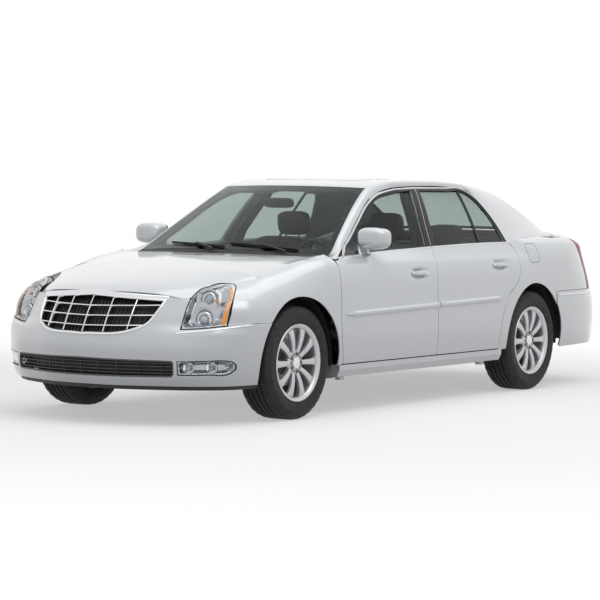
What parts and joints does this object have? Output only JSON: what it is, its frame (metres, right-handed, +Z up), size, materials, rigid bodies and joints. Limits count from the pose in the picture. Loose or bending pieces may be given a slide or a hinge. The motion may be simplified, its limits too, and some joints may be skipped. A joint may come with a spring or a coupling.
{
  "type": "luxury sedan",
  "caption": "Full-size luxury sedan with hollow cabin and boot, opening doors, hood and boot lid, turning wheels and coupled steering, standing as parked",
  "frame": {"origin": "on the ground below the middle of the bounding box", "axes": "+X to the nose, +Y to the left of the car, +Z up"},
  "size_m": [5.28, 2.002, 1.4808],
  "materials": {
    "paint": "pale silver metallic paint",
    "glass": "tinted safety glass",
    "lens": "clear lamp lens",
    "red_lens": "red lamp lens",
    "bright": "bright plating",
    "dark_plastic": "dark grained plastic",
    "steel": "coated steel",
    "cloth": "dark grey leather",
    "alloy": "painted alloy",
    "tyre": "black rubber"
  },
  "bodies": {
    "car_body": {"floor_pan": "steel", "rockers": "paint", "pillars": "steel", "side_frames": "paint", "roof": "paint", "windshield": "glass", "rear_window": "glass", "front_fenders": "paint", "quarter_panels": "paint", "front_bumper": "paint", "rear_bumper": "paint", "grille": "bright", "lower_grille": "dark_plastic", "air_dam": "dark_plastic", "headlamps": "bright", "headlamp_lenses": "lens", "fog_lamps": "lens", "tail_lamps": "red_lens", "cowl": "dark_plastic", "dashboard": "dark_plastic", "front_seats": "cloth", "rear_seat": "cloth", "engine": "steel", "front_carrier": "steel", "rear_carrier": "steel", "boot_trim": "dark_plastic", "parcel_shelf": "dark_plastic", "door_hinges": "steel", "front_subframe": "steel", "rear_suspension": "steel", "exhaust": "steel", "wheel_liners": "dark_plastic"},
    "hood": {"hood": "paint"},
    "boot_lid": {"boot_lid": "paint"},
    "steering_wheel": {"steering_wheel": "dark_plastic"},
    "door_front_left": {"door_front_left": "paint", "glass_front_left": "glass", "mirror_left": "paint"},
    "door_rear_left": {"door_rear_left": "paint", "glass_rear_left": "glass"},
    "knuckle_left": {"front_knuckle_left": "steel"},
    "wheel_front_left": {"wheel_front_left": "alloy", "tyre_front_left": "tyre"},
    "wheel_rear_left": {"wheel_rear_left": "alloy", "tyre_rear_left": "tyre"},
    "door_front_right": {"door_front_right": "paint", "glass_front_right": "glass", "mirror_right": "paint"},
    "door_rear_right": {"door_rear_right": "paint", "glass_rear_right": "glass"},
    "knuckle_right": {"front_knuckle_right": "steel"},
    "wheel_front_right": {"wheel_front_right": "alloy", "tyre_front_right": "tyre"},
    "wheel_rear_right": {"wheel_rear_right": "alloy", "tyre_rear_right": "tyre"}
  },
  "joints": [
    {"name": "steer_left", "type": "hinge", "parent": "car_body", "child": "knuckle_left", "pos_m": [1.612, 0.7175, 0.351], "axis": [0, 0, 1], "range_deg": [-33, 33]},
    {"name": "steer_right", "type": "hinge", "parent": "car_body", "child": "knuckle_right", "pos_m": [1.612, -0.7175, 0.351], "axis": [0, 0, 1], "range_deg": [-33, 33]},
    {"name": "wheel_front_left_spin", "type": "hinge", "parent": "knuckle_left", "child": "wheel_front_left", "pos_m": [1.612, 0.7935, 0.351], "axis": [0, 1, 0], "continuous": true},
    {"name": "wheel_rear_left_spin", "type": "hinge", "parent": "car_body", "child": "wheel_rear_left", "pos_m": [-1.324, 0.7935, 0.351], "axis": [0, 1, 0], "continuous": true},
    {"name": "wheel_front_right_spin", "type": "hinge", "parent": "knuckle_right", "child": "wheel_front_right", "pos_m": [1.612, -0.7935, 0.351], "axis": [0, 1, 0], "continuous": true},
    {"name": "wheel_rear_right_spin", "type": "hinge", "parent": "car_body", "child": "wheel_rear_right", "pos_m": [-1.324, -0.7935, 0.351], "axis": [0, 1, 0], "continuous": true},
    {"name": "door_front_left_hinge", "type": "hinge", "parent": "car_body", "child": "door_front_left", "pos_m": [1.157, 0.9344, 0.6], "axis": [0, 0, -1], "range_deg": [0, 68]},
    {"name": "door_rear_left_hinge", "type": "hinge", "parent": "car_body", "child": "door_rear_left", "pos_m": [-0.013, 0.9375, 0.6], "axis": [0, 0, -1], "range_deg": [0, 68]},
    {"name": "door_front_right_hinge", "type": "hinge", "parent": "car_body", "child": "door_front_right", "pos_m": [1.157, -0.9344, 0.6], "axis": [0, 0, 1], "range_deg": [0, 68]},
    {"name": "door_rear_right_hinge", "type": "hinge", "parent": "car_body", "child": "door_rear_right", "pos_m": [-0.013, -0.9375, 0.6], "axis": [0, 0, 1], "range_deg": [0, 68]},
    {"name": "hood_hinge", "type": "hinge", "parent": "car_body", "child": "hood", "pos_m": [1.19, 0, 0.92941], "axis": [0, -1, 0], "range_deg": [0, 50]},
    {"name": "boot_hinge", "type": "hinge", "parent": "car_body", "child": "boot_lid", "pos_m": [-2.071, 0, 1.04826], "axis": [0, 1, 0], "range_deg": [0, 75]},
    {"name": "steering_wheel_turn", "type": "hinge", "parent": "car_body", "child": "steering_wheel", "pos_m": [0.602, 0.38, 0.9], "axis": [-0.9063, 0, 0.4226], "range_deg": [-528, 528]}
  ],
  "couplings": [
    {"joint": "steer_right", "follows": "steer_left", "ratio": 1},
    {"joint": "steering_wheel_turn", "follows": "steer_left", "ratio": 16}
  ]
}
